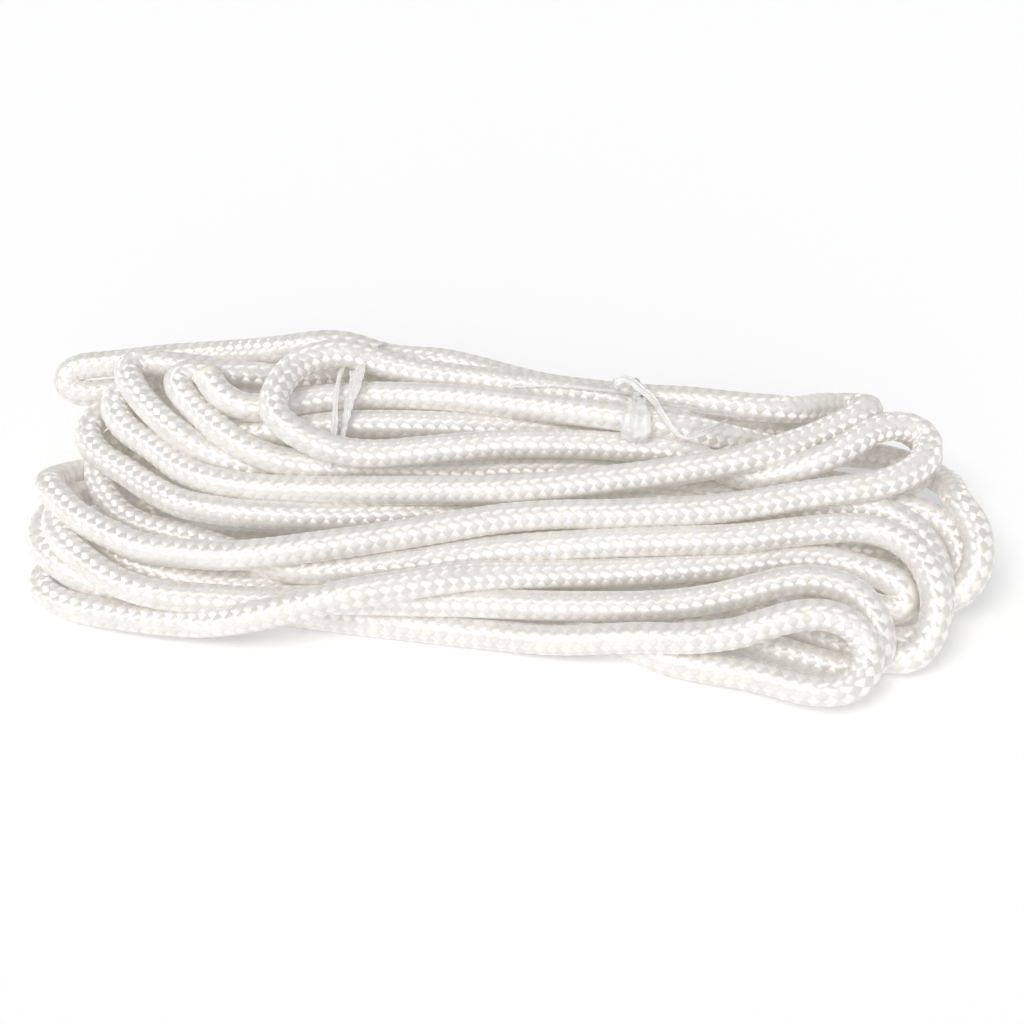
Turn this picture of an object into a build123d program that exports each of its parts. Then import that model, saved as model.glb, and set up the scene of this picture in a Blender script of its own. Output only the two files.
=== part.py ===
"""A dock line wound into a loose hank and held by two twisted film ties.

Millimetres, +Z up. The hank lies on z = 0 with its length along X. Its loose front turns face -Y,
and its tied back runs are towards +Y. The origin is the middle of the footprint.
"""

from build123d import *

import math
import os

ROPE_DIAMETER = 9.5
CORE_DIAMETER = 5.5
SEAL_LENGTH = 3.0
SEAL_EDGE = 1.2
TIGHTEST_BEND = 1.0  # in rope diameters, at the small loop and beside the cut end

HANK_TOP = 90.0  # above everything, for the blanks that are cut to the hank's outline
HANK_REACH = 400.0

FILM_WIDTH = 5.0
FILM_THICKNESS = 1.0
TAIL_WIDTH = 2.4

# The hank's outline seen from above, anticlockwise from its left front corner.
PLAN = [
    (-148, -34),
    (-110, -47),
    (-50, -53),
    (10, -57),
    (62, -61),
    (104, -64),
    (136, -52),
    (155, -24),
    (159, 0),
    (152, 24),
    (136, 40),
    (100, 51),
    (50, 59),
    (-10, 64),
    (-80, 65),
    (-130, 61),
    (-157, 45),
    (-161, 20),
    (-158, -10),
]
# The outline of its upper side seen from the right, from the front floor edge to the back one.
SECTION = [
    (-65, 0),
    (-62, 12),
    (-50, 25),
    (-30, 34),
    (-10, 40),
    (8, 48),
    (24, 54),
    (38, 57),
    (50, 53),
    (60, 40),
    (65, 20),
    (65, 0),
]
# The outline of its upper side seen from the front, from the left floor edge to the right one.
ELEVATION = [
    (-156, 0),
    (-161, 18),
    (-161, 40),
    (-146, 51),
    (-100, 56),
    (-40, 57),
    (30, 54),
    (95, 50),
    (136, 46),
    (150, 36),
    (158, 22),
    (156, 8),
    (150, 0),
]

# The small loop that stands out of the top, from where it leaves the hank to where it goes back in.
LOOP_ROUTE = [
    (-38, 5, 38),
    (-50, 2, 42),
    (-62, 4, 46),
    (-71, 11, 51),
    (-72, 23, 55),
    (-64, 33, 57),
    (-52, 38, 56),
    (-40, 39, 53),
    (-27, 38, 50),
]
# The stretch beside the cut end, from the end to where it goes under the small loop.
CUT_END_ROUTE = [(-97, 28, 50), (-94, 24, 48), (-86, 19, 46), (-73, 20, 45), (-60, 26, 45)]
# The other end, which lies on the surface behind the hank.
TAIL_END_ROUTE = [(-58, 60, 4.75), (-78, 59, 4.75), (-98, 55, 4.75), (-116, 47, 4.75)]

# Each tie's closed path round the tied back runs, as (y, z), and the x it lies at.
LEFT_TIE = [
    (43, 57),
    (37, 56),
    (30, 54),
    (20, 51.5),
    (12, 47.5),
    (4, 42.5),
    (-1, 39),
    (0, 35),
    (10, 34),
    (22, 35),
    (36, 38),
    (47, 42),
    (49.5, 49),
    (48, 54),
]
LEFT_TIE_X = -50.0
RIGHT_TIE = [
    (38, 50),
    (30, 52),
    (20, 52),
    (15, 50),
    (12.5, 45),
    (16, 39),
    (28, 37.5),
    (39, 37),
    (43, 42),
    (42, 47),
]
RIGHT_TIE_X = 45.0

KNOT_CENTRE = (46.0, 27.0, 52.4)
KNOT_SIZE = (8.0, 7.0, 5.0)
# The three ends of film that come out of the knot.
LEFT_TAIL = [(45, 27, 51.2), (33, 27, 51.5), (20, 28, 52), (8, 28, 51.5), (3, 28.5, 51)]
TWISTED_TAIL = [
    (43.5, 27, 53.5),
    (42, 26.5, 57.2),
    (46, 26, 57),
    (50, 22, 53),
    (54, 15, 50.5),
    (58.5, 11.5, 46.5),
    (65, 12.5, 46),
    (71, 17.5, 46.5),
    (75, 22.5, 45),
]
FLAT_TAIL = [
    (46, 27, 52),
    (52, 27, 50),
    (60, 26.5, 47),
    (68, 27.5, 45),
    (77, 27.5, 44),
    (88, 31.5, 40.5),
    (98, 34, 36.5),
]


def write(shape, node):
    shape.label = node
    export_step(shape, f"parts/{node}.step")


def rounded_radii(points):
    """The largest arcs that the runs leave room for, one for each corner of a route."""
    radii = []
    for before, corner, after in zip(points, points[1:], points[2:]):
        first = Vector(*corner) - Vector(*before)
        second = Vector(*after) - Vector(*corner)
        half_turn = math.radians(first.get_angle(second)) / 2
        radii.append(0.45 * min(first.length, second.length) / math.tan(half_turn))
    return radii


def rope_path(points, name):
    radii = rounded_radii(points)
    print(name, "bend radii", [round(radius, 1) for radius in radii])
    assert min(radii) > TIGHTEST_BEND * ROPE_DIAMETER
    return FilletPolyline(*points, radius=radii)


def swept(path, sketch):
    """A section carried along a path, checked against its area times its length."""
    start = Plane(origin=path @ 0, z_dir=path % 0)
    solid = sweep(start * sketch, path=path)
    expected = sketch.area * path.length
    assert abs(solid.volume - expected) < 0.02 * expected
    return solid


def hank():
    """The closed outer shape of the wound rope: three outlines crossed."""
    plan = make_face(Spline(*PLAN, periodic=True))
    from_above = extrude(plan, HANK_TOP)
    section_curve = Spline(*[(0, y, z) for y, z in SECTION])
    section = make_face([section_curve, Line(section_curve @ 1, section_curve @ 0)])
    from_side = extrude(section, HANK_REACH, dir=(1, 0, 0), both=True)
    elevation_curve = Spline(*[(x, 0, z) for x, z in ELEVATION])
    elevation = make_face([elevation_curve, Line(elevation_curve @ 1, elevation_curve @ 0)])
    from_front = extrude(elevation, HANK_REACH, dir=(0, 1, 0), both=True)
    return (from_above & from_side & from_front).solid()


def rope_run(points, name):
    return swept(rope_path(points, name), Circle(ROPE_DIAMETER / 2))


def end_seal(points):
    """The melted cap that closes a cut end."""
    tip = Vector(*points[0])
    outward = tip - Vector(*points[1])
    cap = extrude(Plane(origin=tip, z_dir=outward) * Circle(ROPE_DIAMETER / 2), SEAL_LENGTH)
    outer_edge = cap.edges().sort_by(lambda edge: -(edge.center() - tip).length)[0]
    return fillet(outer_edge, SEAL_EDGE)


def film_band(outline, x):
    """A tie's flat band, as a closed ring of film round the back runs."""
    middle_y = sum(y for y, z in outline) / len(outline)
    middle_z = sum(z for y, z in outline) / len(outline)
    blanks = []
    for inset in (0, FILM_THICKNESS):
        points = []
        for y, z in outline:
            shrink = 1 - inset / math.hypot(y - middle_y, z - middle_z)
            points.append((x, middle_y + (y - middle_y) * shrink, middle_z + (z - middle_z) * shrink))
        face = make_face(Spline(*points, periodic=True))
        blanks.append(extrude(face, FILM_WIDTH / 2, dir=(1, 0, 0), both=True))
    return (blanks[0] - blanks[1]).solid()


def film_tail(points):
    path = FilletPolyline(*points, radius=rounded_radii(points))
    return swept(path, Rectangle(TAIL_WIDTH, FILM_THICKNESS))


def knot():
    """The drawn-up overhand knot of the right tie."""
    ball = Sphere(0.5)
    length, depth, height = KNOT_SIZE
    return Pos(*KNOT_CENTRE) * scale(ball, by=(length, depth, height))


os.makedirs("parts", exist_ok=True)

cut_end_path = rope_path(CUT_END_ROUTE, "cut end")
cover_section = Circle(ROPE_DIAMETER / 2) - Circle(CORE_DIAMETER / 2)

write(hank(), "rope_hank")
write(rope_run(LOOP_ROUTE, "small loop"), "small_loop")
write(swept(cut_end_path, cover_section), "cut_end_cover")
write(swept(cut_end_path, Circle(CORE_DIAMETER / 2)), "cut_end_core")
write(end_seal(CUT_END_ROUTE), "cut_end_seal")
write(rope_run(TAIL_END_ROUTE, "tail end"), "tail_end_run")
write(end_seal(TAIL_END_ROUTE), "tail_end_seal")
write(film_band(LEFT_TIE, LEFT_TIE_X), "left_tie_band")
write(film_band(RIGHT_TIE, RIGHT_TIE_X), "right_tie_band")
write(knot(), "right_tie_knot")
write(film_tail(LEFT_TAIL), "right_tie_left_tail")
write(film_tail(TWISTED_TAIL), "right_tie_twisted_tail")
write(film_tail(FLAT_TAIL), "right_tie_flat_tail")
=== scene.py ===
"""A dock line wound into a loose hank and held by two film ties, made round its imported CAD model."""
import math

import bpy
import numpy as np
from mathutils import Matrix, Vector, noise


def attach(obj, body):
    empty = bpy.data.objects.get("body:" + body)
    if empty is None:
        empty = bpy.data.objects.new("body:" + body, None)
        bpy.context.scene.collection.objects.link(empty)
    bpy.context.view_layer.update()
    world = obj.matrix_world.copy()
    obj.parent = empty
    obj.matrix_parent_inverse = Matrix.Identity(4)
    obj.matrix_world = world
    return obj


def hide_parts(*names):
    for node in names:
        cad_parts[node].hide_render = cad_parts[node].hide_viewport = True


MM = 0.001
BODY = "hank"
noise.seed_set(4)  # without a seed, noise_vector gives the film other creases on each run

# The line: a plain braid of 16 flat carriers of nylon over a braided core.
DIAMETER = 9.5 * MM
ONE_WAY = 8  # carriers that wind the same way
FLOAT_ANGLE = math.pi / ONE_WAY  # a carrier passes over one other, then under one
FLOAT_LENGTH = 0.215 * DIAMETER  # of one pass over or under, along the line
PAIRED = 2  # carriers in one piece
CARRIER_MIDDLE = 0.476 * DIAMETER  # the height at which a carrier passes from over to under
CARRIER_RISE = 0.013 * DIAMETER
CARRIER_CROWN = 0.013 * DIAMETER
CARRIER_HALF_WIDTH = 0.145 * DIAMETER
UNDERLAY_RADIUS = 0.458 * DIAMETER
UNDERLAY_SIDES = 16

# Winding the hank.
WINDING_STEP = 4.0  # millimetres between the points that settle
TURN_GAP = 0.97 * DIAMETER / MM
SETTLING_ROUNDS = 150
SETTLING_SHARE = 0.35
TIGHTEST_BEND = 0.5 * DIAMETER / MM  # what easing works towards, and some bends stay tighter
EASING_ROUNDS = 12
EASED_POINTS = 5  # beside and at a tight bend
RESPACED_EVERY = 4  # rounds
STANDSTILL = 0.2 * MM  # points of the smooth curve that are nearer than this are one point
SHOWN = 1.0  # a stretch at the hank's surface, which keeps its place as seen from the front
INSIDE = 0.0  # a stretch inside the heap or behind it, which gives way

# The line's way through the hank in millimetres, from its cut end to its tail. No two turns are alike,
# so each stretch has its own points, and winding spaces them evenly and lets the turns settle.
# The shown stretches were traced on the reference view and projected through this camera, then moved in
# part. The inside stretches are guessed.
ROUTE = [
    # from the cut end along the tied back run
    (SHOWN, [
        (-97, 28, 50), (-96, 26, 49), (-93, 23, 47), (-88, 20, 46), (-83, 18, 45), (-74, 20, 45),
        (-60, 26, 45), (-41, 28, 46), (-14, 29, 45), (0, 28, 44), (13, 28, 43), (33, 25, 43),
        (47, 24, 41),
    ]),
    # down inside the right end
    (INSIDE, [
        (62, 22, 36), (85, 29, 31), (107, 37, 27), (125, 40, 25), (138, 37, 24), (147, 28, 25),
    ]),
    # outermost loop of the right end
    (SHOWN, [
        (149, 18, 27), (148, 7, 28), (151, 3, 26), (153, -2, 24), (153, -9, 21), (152, -14, 17),
        (149, -18, 12), (145, -21, 9),
    ]),
    # back along the floor to the left
    (INSIDE, [
        (134, -24, 6), (115, -10, 5), (90, 0, 5), (60, 20, 5), (30, 42, 7), (0, 53, 12), (-35, 55, 16),
        (-70, 54, 18), (-100, 54, 22), (-120, 52, 27), (-133, 47, 30),
    ]),
    # second turn of the left end and the upper front run
    (SHOWN, [
        (-134, 31, 37), (-134, 27, 36), (-130, 21, 35), (-124, 16, 34), (-118, 13, 33), (-112, 9, 32),
        (-105, 3, 31), (-96, -2, 31), (-85, -5, 31), (-75, -6, 31), (-62, -6, 31), (-49, -7, 32),
        (-14, -5, 33), (2, -5, 34), (18, -2, 34), (34, 2, 34), (50, 6, 34), (67, 10, 35), (83, 14, 36),
        (100, 23, 37), (110, 29, 38), (119, 34, 40), (125, 40, 38), (125, 47, 34), (118, 50, 32),
        (110, 46, 35),
    ]),
    # back run along the top and the left end's high loop
    (SHOWN, [
        (101, 38, 39), (91, 33, 43), (80, 32, 44), (60, 31, 46), (47, 31, 47), (26, 33, 48),
        (13, 35, 48), (-8, 42, 49), (-22, 47, 49), (-36, 45, 50), (-42, 43, 52), (-54, 43, 57),
        (-64, 42, 57), (-77, 42, 54), (-92, 47, 49), (-107, 49, 46), (-120, 50, 44), (-133, 51, 41),
        (-146, 51, 39), (-156, 51, 38), (-163, 49, 36), (-165, 46, 32), (-161, 44, 29), (-151, 44, 30),
    ]),
    # in under the left end's turns
    (INSIDE, [
        (-141, 44, 31), (-132, 42, 31), (-119, 33, 32), (-105, 22, 34),
    ]),
    # tied run in front of the cut end's
    (SHOWN, [
        (-95, 16, 36), (-84, 12, 39), (-70, 12, 41), (-55, 14, 43), (-42, 16, 43), (-26, 18, 42),
        (1, 20, 41), (20, 22, 39), (40, 23, 37),
    ]),
    # down towards the right end
    (INSIDE, [
        (60, 22, 32), (80, 17, 27), (95, 12, 25),
    ]),
    # right loop inside the outermost
    (SHOWN, [
        (107, 10, 25), (123, 9, 26), (132, 6, 26), (138, 4, 26), (144, 1, 25), (148, -3, 24),
        (150, -8, 22), (151, -13, 18), (150, -18, 12), (144, -19, 7),
    ]),
    # back along the floor behind the first
    (INSIDE, [
        (134, -15, 5), (118, -5, 5), (95, 10, 5), (70, 28, 5), (45, 42, 5), (15, 50, 5), (-20, 50, 6),
        (-55, 47, 9), (-90, 42, 14), (-110, 38, 16), (-126, 32, 18), (-138, 23, 17),
    ]),
    # left loop, the long front run and the high right loop
    (SHOWN, [
        (-145, 14, 18), (-149, 7, 21), (-149, 0, 24), (-145, -6, 26), (-139, -11, 25), (-134, -16, 25),
        (-125, -21, 24), (-117, -25, 24), (-110, -28, 23), (-103, -29, 23), (-90, -30, 23),
        (-77, -32, 25), (-64, -30, 26), (-52, -29, 28), (-27, -23, 29), (-12, -19, 30), (3, -14, 30),
        (19, -11, 30), (34, -10, 30), (50, -8, 30), (66, -6, 30), (82, -2, 30), (99, 4, 30),
        (115, 7, 31), (125, 9, 32), (131, 12, 33), (139, 18, 34), (142, 25, 36), (141, 30, 38),
        (135, 31, 40), (128, 29, 41), (121, 25, 41), (114, 18, 40), (105, 13, 38), (96, 11, 35),
        (86, 10, 31),
    ]),
    # back from the high loop to the small one
    (SHOWN, [
        (76, 14, 31), (64, 19, 34), (54, 18, 36), (40, 17, 37), (27, 16, 38), (14, 14, 39),
        (1, 13, 39), (-12, 10, 39), (-25, 7, 39), (-38, 5, 38),
    ]),
    # small loop on top
    (SHOWN, [
        (-50, 2, 41), (-60, 3, 45), (-68, 5, 49), (-73, 11, 51), (-72, 18, 54), (-69, 28, 56),
        (-61, 34, 57), (-52, 37, 57), (-42, 38, 52),
    ]),
    # tied run along the top
    (SHOWN, [
        (-28, 37, 49), (-14, 37, 48), (-1, 35, 48), (13, 34, 47), (33, 31, 47), (47, 29, 44),
        (67, 28, 41), (88, 33, 37),
    ]),
    # right end behind the high loop
    (SHOWN, [
        (108, 36, 36), (122, 35, 38), (131, 36, 39), (139, 34, 38), (144, 30, 36), (146, 25, 33),
        (143, 19, 30), (138, 16, 28), (127, 13, 25),
    ]),
    # in under the tied runs
    (INSIDE, [
        (111, 20, 26), (94, 16, 25), (75, 10, 25), (55, 11, 26),
    ]),
    # run that crosses to the left end and turns back
    (SHOWN, [
        (34, 14, 29), (21, 12, 30), (1, 11, 30), (-6, 10, 29), (-18, 7, 31), (-31, 5, 33),
        (-50, 2, 35), (-63, 1, 36), (-70, 1, 37), (-77, 3, 38), (-84, 6, 39), (-92, 12, 41),
        (-99, 18, 42), (-106, 24, 45), (-110, 26, 48), (-113, 28, 50), (-114, 32, 50), (-109, 32, 50),
        (-101, 32, 49), (-91, 34, 48), (-83, 37, 46),
    ]),
    # back run down to the right front
    (INSIDE, [
        (-71, 41, 42), (-50, 50, 40), (-25, 53, 39), (0, 51, 37), (25, 46, 34), (50, 40, 30),
        (75, 30, 22), (94, 11, 13), (106, -7, 8), (118, -21, 5),
    ]),
    # right loop, the crossing front run and the lowest left loop
    (SHOWN, [
        (129, -28, 6), (134, -26, 10), (131, -21, 15), (123, -16, 15), (114, -11, 14), (104, -9, 15),
        (91, -12, 16), (79, -15, 16), (66, -17, 16), (51, -20, 16), (35, -22, 16), (23, -23, 16),
        (10, -24, 16), (-2, -26, 17), (-14, -31, 19), (-26, -35, 19), (-38, -38, 19), (-48, -39, 16),
        (-57, -39, 13), (-68, -39, 9), (-77, -39, 7), (-87, -40, 5), (-97, -41, 5), (-106, -41, 5),
        (-116, -40, 5), (-124, -39, 5), (-134, -37, 5), (-143, -33, 5), (-148, -26, 5), (-146, -18, 5),
    ]),
    # under the heap to the right front
    (INSIDE, [
        (-135, -12, 5), (-122, -7, 5), (-100, -4, 5), (-70, -4, 5), (-35, -8, 5), (0, -16, 5),
        (40, -25, 5), (75, -36, 5), (98, -44, 5),
    ]),
    # lower front loop and its run to the left
    (SHOWN, [
        (112, -49, 5), (119, -45, 6), (121, -42, 8), (120, -38, 11), (119, -33, 15), (115, -29, 18),
        (109, -26, 20), (100, -25, 21), (91, -26, 20), (79, -29, 17), (66, -32, 15), (51, -34, 14),
        (36, -35, 14), (20, -35, 13), (5, -35, 13), (-8, -35, 13), (-20, -36, 13), (-33, -36, 13),
        (-58, -37, 12), (-73, -40, 12), (-89, -40, 13), (-100, -41, 15), (-107, -40, 16),
        (-115, -38, 17), (-123, -34, 19), (-132, -28, 20), (-140, -21, 21), (-145, -12, 21),
        (-146, -3, 21), (-144, 6, 19),
    ]),
    # under the heap again
    (INSIDE, [
        (-140, 15, 15), (-132, 26, 10), (-114, 36, 9), (-80, 38, 10), (-45, 32, 8), (-10, 20, 6),
        (25, 4, 5), (60, -12, 5), (90, -28, 5), (110, -40, 5),
    ]),
    # front loop above it and its run to the left
    (SHOWN, [
        (125, -46, 5), (131, -43, 5), (134, -39, 7), (136, -34, 10), (137, -29, 13), (137, -23, 16),
        (136, -18, 18), (134, -12, 20), (130, -7, 22), (124, -4, 23), (115, -2, 23), (106, -5, 24),
        (92, -8, 24), (79, -12, 24), (67, -13, 24), (51, -15, 24), (35, -17, 24), (19, -20, 24),
        (4, -23, 24), (-12, -26, 23), (-27, -30, 22), (-46, -30, 19), (-59, -30, 17), (-76, -25, 17),
        (-95, -17, 17), (-109, -13, 17), (-117, -11, 17), (-125, -6, 17), (-132, 1, 19), (-138, 8, 21),
    ]),
    # back and under the heap once more
    (INSIDE, [
        (-141, 17, 22), (-138, 28, 22), (-128, 37, 20), (-110, 44, 17), (-85, 46, 15), (-50, 43, 12),
        (-15, 34, 8), (20, 20, 5), (55, 4, 5), (90, -14, 5), (118, -30, 5),
    ]),
    # steep right loop
    (SHOWN, [
        (132, -37, 5), (139, -33, 8), (140, -26, 15), (140, -20, 20), (139, -12, 23), (135, -4, 25),
        (128, 1, 27), (119, 4, 27), (99, 2, 26), (80, 0, 24), (62, 5, 23),
    ]),
    # upper front run and the left end's outer turn
    (SHOWN, [
        (41, 6, 24), (22, 2, 23), (-4, -4, 24), (-30, -10, 26), (-46, -12, 26), (-61, -14, 27),
        (-74, -14, 27), (-84, -14, 27), (-94, -12, 27), (-101, -11, 27), (-109, -6, 27),
        (-117, -1, 27), (-125, 5, 28), (-132, 8, 29), (-137, 12, 30), (-141, 16, 32), (-142, 21, 34),
        (-140, 27, 35), (-136, 32, 35), (-132, 36, 34),
    ]),
    # along the floor to the right end
    (INSIDE, [
        (-128, 48, 24), (-105, 50, 13), (-70, 47, 5), (-35, 38, 5), (0, 26, 5), (35, 12, 5),
        (70, -2, 5), (105, -20, 5), (126, -26, 5),
    ]),
    # innermost right loop
    (SHOWN, [
        (142, -19, 7), (146, -15, 9), (148, -11, 12), (146, -6, 15), (142, -2, 16), (134, 1, 13),
    ]),
    # up through the middle
    (INSIDE, [
        (122, -3, 10), (98, -1, 11), (60, 2, 14), (25, 2, 14), (-10, 4, 16), (-40, 6, 20),
        (-62, 5, 26),
    ]),
    # run up over the left end
    (SHOWN, [
        (-79, 3, 31), (-86, 4, 33), (-96, 6, 36), (-105, 10, 39), (-115, 19, 40), (-123, 27, 42),
        (-128, 34, 43), (-131, 39, 44), (-130, 42, 45), (-126, 45, 44), (-118, 44, 44), (-107, 45, 43),
        (-96, 45, 42),
    ]),
    # back run, a turn inside the heap and the floor behind it
    (INSIDE, [
        (-88, 47, 40), (-69, 53, 32), (-40, 58, 22), (-10, 56, 18), (20, 52, 13), (46, 44, 13),
        (68, 34, 14), (80, 24, 15), (76, 14, 14), (55, 11, 12), (25, 14, 9), (-2, 17, 8), (-30, 20, 7),
        (-65, 22, 7), (-95, 18, 8), (-118, 8, 9), (-128, -4, 10), (-128, -16, 12),
    ]),
    # short stretch in the left front's gap
    (SHOWN, [
        (-119, -25, 13), (-108, -29, 14), (-97, -32, 13), (-87, -33, 13), (-78, -34, 13),
        (-68, -33, 12), (-59, -31, 11),
    ]),
    # along the front floor, inside
    (INSIDE, [
        (-40, -29, 8), (-15, -27, 5), (10, -29, 5), (30, -35, 5), (43, -42, 5),
    ]),
    # lowest front loop and its run to the left
    (SHOWN, [
        (55, -48, 5), (66, -50, 5), (78, -51, 5), (87, -53, 5), (96, -56, 5), (103, -56, 5),
        (109, -54, 5), (113, -50, 6), (115, -46, 8), (115, -43, 10), (112, -40, 15), (106, -39, 19),
        (98, -39, 20), (89, -41, 19), (78, -44, 15), (66, -46, 14), (60, -46, 13), (48, -45, 12),
        (36, -44, 9), (21, -43, 6), (5, -41, 5), (-11, -40, 5), (-27, -39, 5), (-46, -38, 5),
        (-59, -37, 5), (-85, -34, 5), (-108, -35, 7), (-120, -35, 9), (-130, -33, 12), (-138, -29, 14),
        (-146, -22, 14), (-151, -14, 14), (-152, -4, 14), (-148, 8, 13),
    ]),
    # round the left end to the tail
    (INSIDE, [
        (-143, 24, 7), (-128, 40, 5), (-116, 47, 5), (-98, 55, 5), (-78, 59, 5), (-58, 60, 5),
    ]),
]


# ---------------------------------------------------------------- the view


CAMERA_AIM = Vector((5.8, 1.1, 20.0)) * MM
CAMERA_DISTANCE = 380.5 * MM
CAMERA_ELEVATION = math.radians(40)
CAMERA_YAW = math.radians(4)
CAMERA_LENS = 40.43  # millimetres, on a 36 mm sensor


def add_camera():
    """Stands in front of the hank, a little to the right of its middle, and looks down on it."""
    level = math.cos(CAMERA_ELEVATION)
    backward = Vector((
        math.sin(CAMERA_YAW) * level,
        -math.cos(CAMERA_YAW) * level,
        math.sin(CAMERA_ELEVATION),
    ))
    camera = bpy.data.objects.new("camera", bpy.data.cameras.new("camera"))
    camera.data.lens = CAMERA_LENS
    camera.data.clip_start = 10 * MM
    camera.location = CAMERA_AIM + backward * CAMERA_DISTANCE
    camera.rotation_euler = (-backward).to_track_quat("-Z", "Y").to_euler()
    bpy.context.scene.collection.objects.link(camera)
    bpy.context.scene.camera = camera


def add_floor():
    mesh = bpy.data.meshes.new("floor")
    half = 6.0
    corners = [(-half, -half, 0), (half, -half, 0), (half, half, 0), (-half, half, 0)]
    mesh.from_pydata(corners, [], [(0, 1, 2, 3)])
    floor = bpy.data.objects.new("floor", mesh)
    bpy.context.scene.collection.objects.link(floor)
    material = bpy.data.materials.new("floor")
    material.use_nodes = True
    shader = material.node_tree.nodes["Principled BSDF"]
    shader.inputs["Base Color"].default_value = (0.93, 0.93, 0.93, 1)
    shader.inputs["Emission Color"].default_value = (0.9, 0.95, 1, 1)
    shader.inputs["Emission Strength"].default_value = 0.075
    shader.inputs["Roughness"].default_value = 0.9
    shader.inputs["Specular IOR Level"].default_value = 0.1
    mesh.materials.append(material)


def add_sun(name, azimuth, elevation, spread, power, colour=(1, 1, 1)):
    """A large far softbox, as a sun that is spread degrees wide; azimuth 0 is in front of the hank."""
    light = bpy.data.lights.new(name, "SUN")
    light.angle = math.radians(spread)
    light.energy = power
    light.color = colour
    lamp = bpy.data.objects.new(name, light)
    around = math.radians(azimuth)
    above = math.radians(elevation)
    direction = Vector((
        math.sin(around) * math.cos(above),
        -math.cos(around) * math.cos(above),
        math.sin(above),
    ))
    lamp.rotation_euler = (-direction).to_track_quat("-Z", "Y").to_euler()
    bpy.context.scene.collection.objects.link(lamp)


def add_light():
    world = bpy.data.worlds.new("studio")
    world.use_nodes = True
    world.node_tree.nodes["Background"].inputs["Color"].default_value = (0.985, 0.99, 1, 1)
    world.node_tree.nodes["Background"].inputs["Strength"].default_value = 0.58
    bpy.context.scene.world = world
    add_sun("key", -42, 52, 25, 1.25, (1, 0.985, 0.96))
    add_sun("front fill", 0, 22, 60, 0.9)
    bpy.context.scene.view_settings.view_transform = "Standard"


# ---------------------------------------------------------------- winding the line


def evenly_spaced(points, values, step):
    """The smooth line that the points steer, as points a step apart, with the values that they carry."""
    points = np.array(points, float)
    values = np.array(values, float)
    steered = np.column_stack([points, values])
    middles = (steered[1:-2] + steered[2:-1]) / 2
    knots = np.vstack([steered[:1], middles, steered[-1:]])
    share = np.linspace(0, 1, 8, endpoint=False)[:, None]
    pieces = [
        (1 - share) ** 2 * start + 2 * share * (1 - share) * corner + share**2 * end
        for start, corner, end in zip(knots, steered[1:-1], knots[1:])
    ]
    line = np.vstack(pieces + [steered[-1:]])
    travelled = distances_along(line[:, :3])
    stations = np.linspace(0, travelled[-1], int(round(travelled[-1] / step)) + 1)
    line = np.column_stack([np.interp(stations, travelled, column) for column in line.T])
    return line[:, :3], line[:, 3]


def distances_along(points):
    steps = np.linalg.norm(np.diff(points, axis=0), axis=1)
    return np.concatenate([[0.0], np.cumsum(steps)])


def close_pairs(points, reach, apart):
    """Pairs of points nearer than reach that lie more than apart steps from each other on the line."""
    firsts = []
    seconds = []
    for i in range(len(points) - apart - 1):
        others = points[i + apart + 1:]
        near = np.nonzero(((others - points[i]) ** 2).sum(axis=1) < reach * reach)[0]
        firsts.append(np.full(len(near), i))
        seconds.append(near + i + apart + 1)
    return np.concatenate(firsts), np.concatenate(seconds)


def settled(points, shown):
    """Turns that lie in each other push apart. Shown ones move mainly towards the back or front."""
    inward = np.array([0, math.cos(CAMERA_ELEVATION), -math.sin(CAMERA_ELEVATION)])
    moved = np.zeros_like(points)
    lowest = 0.52 * DIAMETER / MM
    apart = math.ceil(2.2 * DIAMETER / MM / WINDING_STEP)
    give = 1 - 0.75 * shown
    for turn in range(SETTLING_ROUNDS):
        places = points + moved
        if turn % 5 == 0:
            first, second = close_pairs(places, TURN_GAP + 4.0, apart)
        between = places[second] - places[first]
        distance = np.maximum(np.linalg.norm(between, axis=1), 1e-6)
        overlap = np.maximum(TURN_GAP - distance, 0) / distance
        push = between * (overlap * SETTLING_SHARE)[:, None]
        total = give[first] + give[second]
        force = np.zeros_like(points)
        np.add.at(force, first, -push * (give[first] / total)[:, None])
        np.add.at(force, second, push * (give[second] / total)[:, None])
        along = (force @ inward)[:, None] * inward
        moved += along + (force - along) * (1 - 0.8 * shown)[:, None]
        along = (moved @ inward)[:, None] * inward
        moved = along * 0.999 + (moved - along) * (1 - 0.05 * shown)[:, None]
        for _ in range(2):
            moved[1:-1] = (moved[:-2] + 2 * moved[1:-1] + moved[2:]) / 4
        moved[:, 2] += np.maximum(lowest - (points + moved)[:, 2], 0)
    return points + moved


def eased(points):
    """Opens out the tightest bends, though not all the way."""
    for turn in range(EASING_ROUNDS):
        bend = np.linalg.norm(points[:-2] - 2 * points[1:-1] + points[2:], axis=1)
        tight = bend > WINDING_STEP**2 / TIGHTEST_BEND
        beside = np.convolve(tight, np.ones(EASED_POINTS), "same") > 0.5
        middle = (points[:-2] + 2 * points[1:-1] + points[2:]) / 4
        points = np.vstack([points[:1], np.where(beside[:, None], middle, points[1:-1]), points[-1:]])
        if turn % RESPACED_EVERY == RESPACED_EVERY - 1:
            travelled = distances_along(points)
            steps = int(round(travelled[-1] / WINDING_STEP))
            stations = np.linspace(0, travelled[-1], steps + 1)
            points = np.column_stack([np.interp(stations, travelled, column) for column in points.T])
    return points


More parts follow.
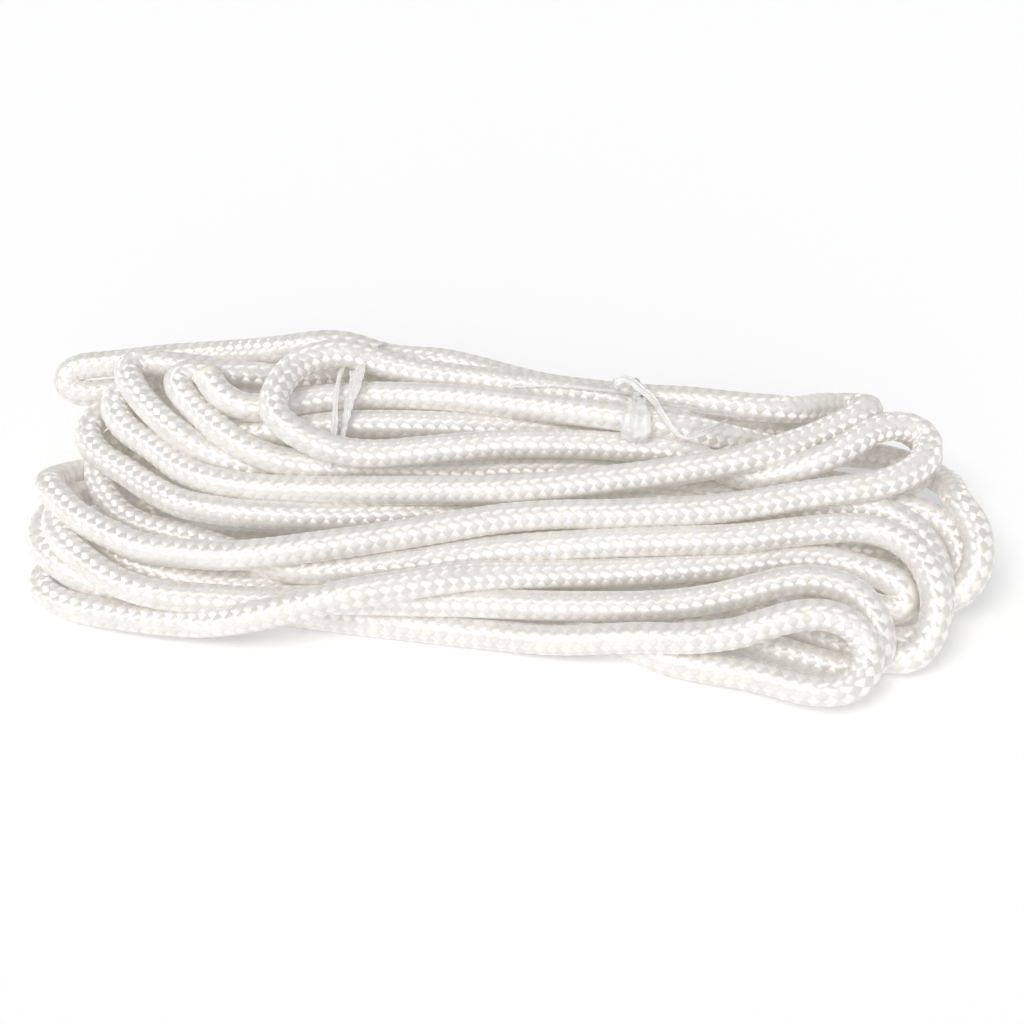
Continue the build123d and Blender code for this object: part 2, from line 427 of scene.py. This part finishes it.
def wound_line():
    """The settled line's own smooth curve, as points about 2 mm apart, in metres."""
    points = []
    shown = []
    for place, stretch in ROUTE:
        points += stretch
        shown += [place] * len(stretch)
    places = eased(settled(*evenly_spaced(points, shown, WINDING_STEP))) * MM
    curve = bpy.data.curves.new("line", "CURVE")
    curve.dimensions = "3D"
    curve.resolution_u = 2
    spline = curve.splines.new("NURBS")
    spline.points.add(len(places) - 1)
    for point, place in zip(spline.points, places):
        point.co = (*place, 1.0)
    spline.order_u = 3
    spline.use_endpoint_u = True
    holder = bpy.data.objects.new("line", curve)
    bpy.context.scene.collection.objects.link(holder)
    mesh = bpy.data.meshes.new_from_object(holder.evaluated_get(bpy.context.evaluated_depsgraph_get()))
    line = np.empty(len(mesh.vertices) * 3)
    mesh.vertices.foreach_get("co", line)
    bpy.data.objects.remove(holder)
    bpy.data.meshes.remove(mesh)
    line = line.reshape(-1, 3)
    moves_on = np.linalg.norm(np.diff(line, axis=0), axis=1) > STANDSTILL
    return line[np.concatenate([[True], moves_on])]


class Run:
    """A line with a frame carried along it without twist: places on its surface by distance and angle."""

    def __init__(self, points, side=(0, 0, 1)):
        self.points = points
        self.travelled = distances_along(points)
        self.length = self.travelled[-1]
        forward = np.gradient(points, self.travelled, axis=0)
        self.forward = forward / np.linalg.norm(forward, axis=1)[:, None]
        self.side = self.carried(np.array(side, float))
        self.across = np.cross(self.forward, self.side)

    def carried(self, side):
        sides = np.empty_like(self.points)
        for i, forward in enumerate(self.forward):
            side = side - forward * side.dot(forward)
            side = side / np.linalg.norm(side)
            sides[i] = side
        return sides

    def at(self, distance, values):
        return np.column_stack([np.interp(distance, self.travelled, column) for column in values.T])

    def surface(self, distance, angle, radius):
        outward = self.at(distance, self.side) * np.cos(angle)[:, None]
        outward += self.at(distance, self.across) * np.sin(angle)[:, None]
        return self.at(distance, self.points) + outward * radius[:, None]


# ---------------------------------------------------------------- meshes


def mesh_object(name, places, faces, smooth=True):
    mesh = bpy.data.meshes.new(name)
    mesh.vertices.add(len(places))
    mesh.vertices.foreach_set("co", np.asarray(places, np.float32).ravel())
    faces = np.asarray(faces, np.int32)
    mesh.loops.add(faces.size)
    mesh.loops.foreach_set("vertex_index", faces.ravel())
    mesh.polygons.add(len(faces))
    mesh.polygons.foreach_set("loop_start", np.arange(0, faces.size, faces.shape[1], dtype=np.int32))
    mesh.update(calc_edges=True)
    mesh.polygons.foreach_set("use_smooth", np.full(len(faces), smooth))
    piece = bpy.data.objects.new(name, mesh)
    bpy.context.scene.collection.objects.link(piece)
    return piece


def tube_faces(rings, around, start=0):
    """Quads that join each ring of points to the next, on a tube that is open at its ends."""
    ring = np.arange(rings - 1)[:, None] * around + start
    corner = np.arange(around)[None, :]
    following = (corner + 1) % around
    lower = [ring + corner, ring + following]
    upper = [ring + following + around, ring + corner + around]
    quads = np.stack(lower + upper, axis=-1)
    return quads.reshape(-1, 4)


def cap_faces(rings, around, start=0):
    """Fans of quads that close both ends of such a tube, whose rings have an even number of points."""
    last = start + (rings - 1) * around
    half = around // 2
    end = start + around - 1
    near = [(start + i, end - i, end - 1 - i, start + i + 1) for i in range(half - 1)]
    far = [(last + i + 1, last + around - 2 - i, last + around - 1 - i, last + i) for i in range(half - 1)]
    return np.array(near + far)


def sharpen_edges(piece, around, corners):
    """Splits the shading along the lines that join the same corner of a tube's rings."""
    ends = np.empty(len(piece.data.edges) * 2, np.int32)
    piece.data.edges.foreach_get("vertices", ends)
    corner = ends.reshape(-1, 2) % around
    sharp = (corner[:, 0] == corner[:, 1]) & np.isin(corner[:, 0], corners)
    piece.data.edges.foreach_set("use_edge_sharp", sharp)


def point_attribute(piece, name, values):
    attribute = piece.data.attributes.new(name, "FLOAT_VECTOR", "POINT")
    attribute.data.foreach_set("vector", np.asarray(values, np.float32).ravel())


def underlay(run):
    """The line's body under its cover, which shows only between the carriers."""
    count = int(run.length / (WINDING_STEP * MM))
    distance = np.repeat(np.linspace(0, run.length, count), UNDERLAY_SIDES)
    angle = np.tile(np.arange(UNDERLAY_SIDES) * 2 * math.pi / UNDERLAY_SIDES, count)
    places = run.surface(distance, angle, np.full(len(angle), UNDERLAY_RADIUS))
    faces = np.vstack([tube_faces(count, UNDERLAY_SIDES), cap_faces(count, UNDERLAY_SIDES)])
    return mesh_object("line_underlay", places, faces)


# Where a carrier's rings stand in one period, in floats: one way's carriers are over at 0, the other's at 1.
RING_PLACES = (0.0, 0.32, 0.68, 1.0, 1.32, 1.68)
# A carrier's section, as its places across from -1 to 1, and how much of the crown each has.
SECTION_ACROSS = (-1.0, -0.6, 0.0, 0.6, 1.0)
SECTION_CROWN = (-0.1, 0.7, 1.0, 0.7, -0.1)


def carrier(run, number, way):
    """One carrier of the braid, along the whole line: its points, faces and what its material reads."""
    periods = int(run.length / FLOAT_LENGTH / 2)
    floats = (np.arange(periods)[:, None] * 2 + np.array(RING_PLACES)[None, :]).ravel()
    over = way * np.cos(math.pi * floats)
    lean = math.atan2(CARRIER_MIDDLE * FLOAT_ANGLE, FLOAT_LENGTH)
    across = np.array(SECTION_ACROSS)[None, :] * CARRIER_HALF_WIDTH
    crown = np.array(SECTION_CROWN)[None, :] * CARRIER_CROWN
    distance = (floats * FLOAT_LENGTH)[:, None] - way * across * math.sin(lean)
    angle = (way * (floats + 2 * number) * FLOAT_ANGLE)[:, None] + across * math.cos(lean) / CARRIER_MIDDLE
    radius = (CARRIER_MIDDLE + CARRIER_RISE * over)[:, None] + crown
    inside = np.clip(distance, 0, run.length)
    places = run.surface(inside.ravel(), angle.ravel(), radius.ravel())
    around = len(SECTION_ACROSS)
    rings = len(floats)
    grid = places.reshape(rings, around, 3)
    along = np.gradient(grid[:, around // 2], axis=0)
    along = np.repeat(along / np.linalg.norm(along, axis=1)[:, None], around, axis=0)
    yarn = np.column_stack([
        np.repeat(floats, around) + 37.0 * number,
        np.tile(SECTION_ACROSS, rings),
        np.repeat(over, around),
    ])
    return places, tube_faces(rings, around), yarn, along


def cover(run):
    """The braided cover, as pieces of a few neighbouring carriers each."""
    pieces = []
    for way in (1, -1):
        for group in range(ONE_WAY // PAIRED):
            places = []
            faces = []
            yarns = []
            alongs = []
            for number in range(group * PAIRED, (group + 1) * PAIRED):
                part, quads, yarn, along = carrier(run, number, way)
                faces.append(quads + sum(len(p) for p in places))
                places.append(part)
                yarns.append(yarn)
                alongs.append(along)
            name = f"cover_{'right' if way > 0 else 'left'}_{group + 1}"
            piece = mesh_object(name, np.vstack(places), np.vstack(faces))
            sharpen_edges(piece, len(SECTION_ACROSS), (0, len(SECTION_ACROSS) - 1))
            point_attribute(piece, "yarn", np.vstack(yarns))
            point_attribute(piece, "along", np.vstack(alongs))
            pieces.append(piece)
    return pieces


# ---------------------------------------------------------------- materials


# Painted shade in a carrier's colour, on the crest, the flank and the dip: darker and warmer where it dives
# and towards its edges.
PAINTED_YARN_SHADE = ((0.97, 0.96, 0.94), (0.96, 0.945, 0.92), (0.92, 0.89, 0.83))


def new_material(name):
    material = bpy.data.materials.new(name)
    material.use_nodes = True
    tree = material.node_tree
    return material, tree, tree.nodes["Principled BSDF"]


def add_node(tree, kind, **settings):
    node = tree.nodes.new(kind)
    for key, value in settings.items():
        if key in node.inputs:
            node.inputs[key].default_value = value
        else:
            setattr(node, key.lower().replace(" ", "_"), value)
    return node


def ramp(tree, source, stops):
    node = tree.nodes.new("ShaderNodeValToRGB")
    elements = node.color_ramp.elements
    while len(elements) < len(stops):
        elements.new(0.5)
    for element, (place, colour) in zip(elements, stops):
        element.position = place
        element.color = (*colour, 1)
    tree.links.new(source, node.inputs["Fac"])
    return node.outputs["Color"]


def mixed(tree, kind, amount, first, second):
    node = tree.nodes.new("ShaderNodeMix")
    node.data_type = "RGBA"
    node.blend_type = kind
    node.inputs["Factor"].default_value = amount
    tree.links.new(first, node.inputs["A"])
    tree.links.new(second, node.inputs["B"])
    return node.outputs["Result"]


def math_node(tree, operation, *values):
    node = tree.nodes.new("ShaderNodeMath")
    node.operation = operation
    for slot, value in zip(node.inputs, values):
        if isinstance(value, (int, float)):
            slot.default_value = value
        else:
            tree.links.new(value, slot)
    return node.outputs["Value"]


def nylon(name, painted_light_level):
    """Lustrous filament with fine fibres along it. Its colour holds painted shade: bright on a float's crest,
    darker and warmer where it dives and towards its edges.
    """
    material, tree, shader = new_material(name)
    yarn = add_node(tree, "ShaderNodeAttribute", attribute_name="yarn")
    parts = tree.nodes.new("ShaderNodeSeparateXYZ")
    tree.links.new(yarn.outputs["Vector"], parts.inputs["Vector"])
    # Painted shade: the colour darkens and warms towards a carrier's edges and where it dives under its
    # neighbour.
    edge = math_node(tree, "ABSOLUTE", parts.outputs["Y"])
    dive = math_node(tree, "MULTIPLY_ADD", parts.outputs["Z"], -0.5, 0.5)
    shade_depth = math_node(tree, "MAXIMUM", math_node(tree, "POWER", edge, 3.0), dive)
    # Painted light: the whole colour is scaled, so that one way's carriers are painted lighter than the
    # other's.
    crest, flank, dip = [tuple(painted_light_level * level for level in levels) for levels in PAINTED_YARN_SHADE]
    painted_shade = ramp(tree, shade_depth, [(0.0, crest), (0.5, flank), (1.0, dip)])
    place = tree.nodes.new("ShaderNodeTexCoord")
    cloud = add_node(tree, "ShaderNodeTexNoise", Scale=160.0, Detail=3.0)
    tree.links.new(place.outputs["Object"], cloud.inputs["Vector"])
    tone = ramp(tree, cloud.outputs["Fac"], [(0.35, (0.92, 0.915, 0.905)), (0.6, (1, 1, 1))])
    colour = mixed(tree, "MULTIPLY", 1.0, painted_shade, tone)
    tree.links.new(colour, shader.inputs["Base Color"])
    stretched = add_node(tree, "ShaderNodeVectorMath", operation="MULTIPLY")
    stretched.inputs[1].default_value = (1.3, 9.0, 0.0)
    tree.links.new(yarn.outputs["Vector"], stretched.inputs[0])
    fibres = add_node(tree, "ShaderNodeTexNoise", Scale=1.0, Detail=3.0, Roughness=0.6)
    tree.links.new(stretched.outputs["Vector"], fibres.inputs["Vector"])
    bump = add_node(tree, "ShaderNodeBump", Strength=0.2, Distance=0.2 * MM)
    tree.links.new(fibres.outputs["Fac"], bump.inputs["Height"])
    tree.links.new(bump.outputs["Normal"], shader.inputs["Normal"])
    along = add_node(tree, "ShaderNodeAttribute", attribute_name="along")
    tree.links.new(along.outputs["Vector"], shader.inputs["Tangent"])
    shader.inputs["Metallic"].default_value = 0.5
    shader.inputs["Anisotropic"].default_value = 1.0
    shader.inputs["Roughness"].default_value = 0.5
    # A faint glow stands in for light that has passed through the nylon.
    shader.inputs["Emission Color"].default_value = (1, 0.92, 0.78, 1)
    shader.inputs["Emission Strength"].default_value = 0.08
    shader.inputs["Specular IOR Level"].default_value = 0.6
    shader.inputs["Sheen Weight"].default_value = 0.1
    return material


def shade_painted_underlay():
    """The underlay: the same nylon, painted darker with painted shade, since it lies in the shade of the
    carriers.
    """
    material, tree, shader = new_material("underlay_nylon")
    place = tree.nodes.new("ShaderNodeTexCoord")
    grain = add_node(tree, "ShaderNodeTexNoise", Scale=900.0, Detail=2.0)
    tree.links.new(place.outputs["Object"], grain.inputs["Vector"])
    # Painted shade: a darker beige-grey than the carriers, with a grain that varies its tone.
    colour = ramp(tree, grain.outputs["Fac"], [(0.3, (0.70, 0.68, 0.62)), (0.7, (0.80, 0.78, 0.73))])
    tree.links.new(colour, shader.inputs["Base Color"])
    bump = add_node(tree, "ShaderNodeBump", Strength=0.4, Distance=0.2 * MM)
    tree.links.new(grain.outputs["Fac"], bump.inputs["Height"])
    tree.links.new(bump.outputs["Normal"], shader.inputs["Normal"])
    shader.inputs["Roughness"].default_value = 0.6
    return material


def melted_nylon():
    material, tree, shader = new_material("melted_nylon")
    place = tree.nodes.new("ShaderNodeTexCoord")
    lumps = add_node(tree, "ShaderNodeTexNoise", Scale=420.0, Detail=4.0)
    tree.links.new(place.outputs["Object"], lumps.inputs["Vector"])
    colour = ramp(tree, lumps.outputs["Fac"], [(0.3, (0.78, 0.73, 0.62)), (0.7, (0.88, 0.85, 0.78))])
    tree.links.new(colour, shader.inputs["Base Color"])
    bump = add_node(tree, "ShaderNodeBump", Strength=0.5, Distance=0.4 * MM)
    tree.links.new(lumps.outputs["Fac"], bump.inputs["Height"])
    tree.links.new(bump.outputs["Normal"], shader.inputs["Normal"])
    shader.inputs["Roughness"].default_value = 0.35
    shader.inputs["Subsurface Weight"].default_value = 0.2
    shader.inputs["Subsurface Radius"].default_value = (0.002, 0.0016, 0.0012)
    return material


def milky_film():
    """Thin film, drawn out and creased: glossy folds that the rope shows through a little."""
    material, tree, shader = new_material("milky_film")
    place = tree.nodes.new("ShaderNodeTexCoord")
    creases = add_node(tree, "ShaderNodeTexNoise", Scale=520.0, Detail=5.0, Distortion=0.6)
    tree.links.new(place.outputs["Object"], creases.inputs["Vector"])
    colour = ramp(tree, creases.outputs["Fac"], [(0.35, (0.84, 0.84, 0.83)), (0.6, (0.93, 0.93, 0.92))])
    tree.links.new(colour, shader.inputs["Base Color"])
    bump = add_node(tree, "ShaderNodeBump", Strength=0.5, Distance=0.3 * MM)
    tree.links.new(creases.outputs["Fac"], bump.inputs["Height"])
    tree.links.new(bump.outputs["Normal"], shader.inputs["Normal"])
    shader.inputs["Roughness"].default_value = 0.22
    shader.inputs["Alpha"].default_value = 0.68
    shader.inputs["Coat Weight"].default_value = 0.3
    return material


def dress(piece, material, slot, *nodes):
    """Gives a piece its material, its body, and the CAD nodes that it stands for."""
    piece.data.materials.append(material)
    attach(piece, BODY)
    if nodes:
        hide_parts(*nodes)
    return piece


# ---------------------------------------------------------------- sealed ends


SEAL_RINGS = ((-0.6, 1.0), (0.4, 1.03), (1.2, 1.01), (1.9, 0.9), (2.4, 0.66), (2.7, 0.3))
SEAL_SIDES = 24


def melted_end(name, tip, outward):
    """The fused cap on a cut end: rounded, a little lumpy, and as wide as the cover."""
    outward = Vector(outward).normalized()
    side = outward.orthogonal().normalized()
    over = outward.cross(side)
    places = []
    for reach, share in SEAL_RINGS:
        for corner in range(SEAL_SIDES):
            angle = corner * 2 * math.pi / SEAL_SIDES
            spoke = side * math.cos(angle) + over * math.sin(angle)
            place = Vector(tip) + outward * reach * MM + spoke * share * DIAMETER / 2
            lump = noise.noise(place / (2.4 * MM))
            places.append(place + (spoke * 0.5 + outward * 0.5) * lump * 0.5 * MM)
    rings = len(SEAL_RINGS)
    faces = np.vstack([tube_faces(rings, SEAL_SIDES), cap_faces(rings, SEAL_SIDES)])
    return mesh_object(name, np.array([tuple(p) for p in places]), faces)


# ---------------------------------------------------------------- film ties


FILM_SIDES = 28


def smooth_points(points, step):
    places, _ = evenly_spaced(points, np.zeros(len(points)), step)
    return places


def film(name, points, widths, thickness, side, twist=0.0, creases=5, crumple=0.25, seed=0):
    """A strip of film drawn together into lengthwise creases, along points in millimetres."""
    run = Run(smooth_points(points, 0.6), side)
    rings = len(run.points)
    share = run.travelled / run.length
    width = np.interp(share, np.linspace(0, 1, len(widths)), widths)
    places = []
    for i in range(rings):
        turned = twist * 2 * math.pi * share[i]
        side_now = run.side[i] * math.cos(turned) + run.across[i] * math.sin(turned)
        across_now = np.cross(run.forward[i], side_now)
        for corner in range(FILM_SIDES):
            angle = corner * 2 * math.pi / FILM_SIDES
            fold = 0.5 * thickness * math.cos(creases * math.cos(angle) * math.pi / 2 + seed + share[i] * 3)
            flat = side_now * (0.5 * width[i] * math.cos(angle))
            lifted = across_now * (0.5 * thickness * math.sin(angle) + fold)
            place = run.points[i] + flat + lifted
            shake = noise.noise_vector(Vector(place) / 2.2 + Vector((seed * 3.1, 0, 0)))
            places.append(place + np.array(shake) * crumple)
    faces = np.vstack([tube_faces(rings, FILM_SIDES), cap_faces(rings, FILM_SIDES)])
    return mesh_object(name, np.array(places) * MM, faces)


LEFT_TIE = [
    (-44, 49, 44), (-44, 49.5, 48), (-45.5, 48.5, 51), (-47, 46.5, 53.5), (-49, 43, 55.5),
    (-50.8, 39.5, 55.5), (-52.2, 35.5, 55), (-53.4, 30, 53.8), (-53.6, 24, 52.6), (-53.4, 19, 50.8),
    (-53, 14, 48.6), (-52.6, 10, 46), (-52.9, 5, 43), (-53.6, 1, 40.5), (-54, -1, 37),
]
LEFT_TIE_WRAP = [
    (-41, 49, 48), (-42, 48.5, 51), (-43, 47, 53.5), (-44.5, 43, 55.5), (-46, 39.5, 55.6),
    (-47.4, 35.5, 54.6), (-47.8, 30, 54), (-47.4, 24.5, 52.9), (-48.4, 19, 50.2), (-49, 14, 47.9),
    (-49.4, 10, 45.3), (-49.8, 5, 42.3), (-50, 2, 40), (-50.4, 0, 37),
]
RIGHT_TIE = [
    (45, 41.5, 39), (45, 43, 44), (45, 41, 48), (45.3, 37.5, 50), (45.8, 33, 51.3), (46.3, 28.5, 51.9),
    (45.8, 24, 52.2), (45.5, 20, 52), (45.1, 16, 50.8), (44.9, 13, 48), (45, 12.5, 44), (45, 15, 39),
]
KNOT_CENTRE = (46, 27, 52.4)
LEFT_TAIL = [
    (46, 26.5, 52), (43.5, 26.8, 51.6), (39, 26.8, 51.9), (33, 27, 52.4), (26.4, 27.3, 52.6),
    (19.8, 28, 52.7), (13, 28.2, 52.2), (8, 28.2, 51.7), (3.5, 28.5, 51.4),
]
TWISTED_TAIL = [
    (38, 27.5, 53), (37.5, 26, 56), (39, 26, 57.5), (41, 26.5, 57.5), (43.5, 27, 56), (46, 25, 54.5),
    (49, 23.5, 53.5), (51, 20.5, 52.5), (52.5, 17, 52), (54.5, 14.5, 50), (56.5, 12, 48.5),
    (58.5, 11.5, 46.5), (61.5, 11.5, 45.5), (64.5, 12.5, 46), (68, 14.5, 46.5), (71, 17.5, 46.5),
    (74.5, 22.5, 45),
]
FLAT_TAIL = [
    (45.5, 26, 52), (48.5, 27.5, 51.2), (51.7, 27, 50), (55.7, 26.2, 48.7), (60.8, 26.5, 46.9),
    (66.7, 27.3, 45), (71.7, 27.5, 44.2), (76.6, 27.2, 44.2), (81.6, 27.8, 43), (87.7, 31.5, 40.3),
    (93, 33, 38.2), (98, 34, 36.6),
]


def knot_loop():
    """The way the film runs through its drawn-up overhand knot."""
    points = []
    for step in range(33):
        angle = 2 * math.pi * step / 32
        radius = 1.5 + 0.7 * math.cos(3 * angle)
        points.append((
            KNOT_CENTRE[0] + radius * math.cos(2 * angle) * 1.25,
            KNOT_CENTRE[1] + radius * math.sin(2 * angle) * 0.9,
            KNOT_CENTRE[2] + 1.1 * math.sin(3 * angle),
        ))
    return points


def add_ties(material):
    along_line = (1, 0, 0)
    flat = (0, 0.7, -0.7)
    left = film("left_tie", LEFT_TIE, [4, 4, 3, 3, 2.8, 3, 4, 4.6], 0.5, along_line, creases=3, seed=1)
    dress(left, material, "film", "left_tie_band")
    widths = [6, 7, 7.5, 6.5, 5.5, 3.4, 2.4, 2]
    wrap = film("left_tie_wrap", LEFT_TIE_WRAP, widths, 0.7, along_line, creases=6,
                crumple=0.6, seed=2)
    dress(wrap, material, "film")
    right = film("right_tie", RIGHT_TIE, [3, 3, 2.4, 2, 2, 4, 7.5, 9.5, 9, 6], 0.8, along_line, creases=7,
                 crumple=0.8, seed=3)
    dress(right, material, "film", "right_tie_band")
    knot = film("right_tie_knot_film", knot_loop(), [2.2], 0.8, (0, 0, 1), creases=4, crumple=0.4, seed=4)
    dress(knot, material, "film", "right_tie_knot")
    widths = [2.2, 2.4, 1.8, 1.8, 1.6, 1.6, 0.9]
    left_tail = film("left_tail", LEFT_TAIL, widths, 0.5, flat, creases=2, seed=5)
    dress(left_tail, material, "film", "right_tie_left_tail")
    widths = [4, 3, 2.6, 2.2, 2, 1.8, 1.8, 3.8, 4.4, 3]
    twisted = film("twisted_tail", TWISTED_TAIL, widths, 0.6, flat, twist=0.25,
                   creases=3, seed=6)
    dress(twisted, material, "film", "right_tie_twisted_tail")
    flat_tail = film("flat_tail", FLAT_TAIL, [2, 2.2, 2, 2.6, 3, 3, 2.4, 1.4], 0.5, flat, creases=2, seed=7)
    dress(flat_tail, material, "film", "right_tie_flat_tail")


# ---------------------------------------------------------------- the whole


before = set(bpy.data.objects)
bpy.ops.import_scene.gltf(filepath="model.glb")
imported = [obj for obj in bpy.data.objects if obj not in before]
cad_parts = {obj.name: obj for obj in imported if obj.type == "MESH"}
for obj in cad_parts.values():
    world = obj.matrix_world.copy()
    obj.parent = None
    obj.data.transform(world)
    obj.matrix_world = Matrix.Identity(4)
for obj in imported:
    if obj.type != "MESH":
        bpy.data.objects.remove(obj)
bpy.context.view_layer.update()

add_camera()
add_floor()
add_light()

line = Run(wound_line())
# Painted light: one copy of the nylon at full brightness and one painted 0.88 as bright as painted shade.
bright_nylon = nylon("bright_nylon", 1.0)
painted_shade_nylon = nylon("painted_shade_nylon", 0.88)
melted = melted_nylon()
body_of_line = underlay(line)
dress(body_of_line, shade_painted_underlay(), "rope_core", "rope_hank", "small_loop", "cut_end_core", "tail_end_run")
carriers = cover(line)
for piece in carriers:
    # The right-hand carriers take the painted-lit copy and the left-hand carriers take the painted-shade
    # copy.
    dress(piece, bright_nylon if "right" in piece.name else painted_shade_nylon, "rope_cover")
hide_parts("cut_end_cover")
cut_end = dress(melted_end("cut_end", line.points[0], -line.forward[0]), melted, "sealed_end", "cut_end_seal")
tail_end = melted_end("tail_end", line.points[-1], line.forward[-1])
tail_end = dress(tail_end, melted, "sealed_end", "tail_end_seal")
add_ties(milky_film())
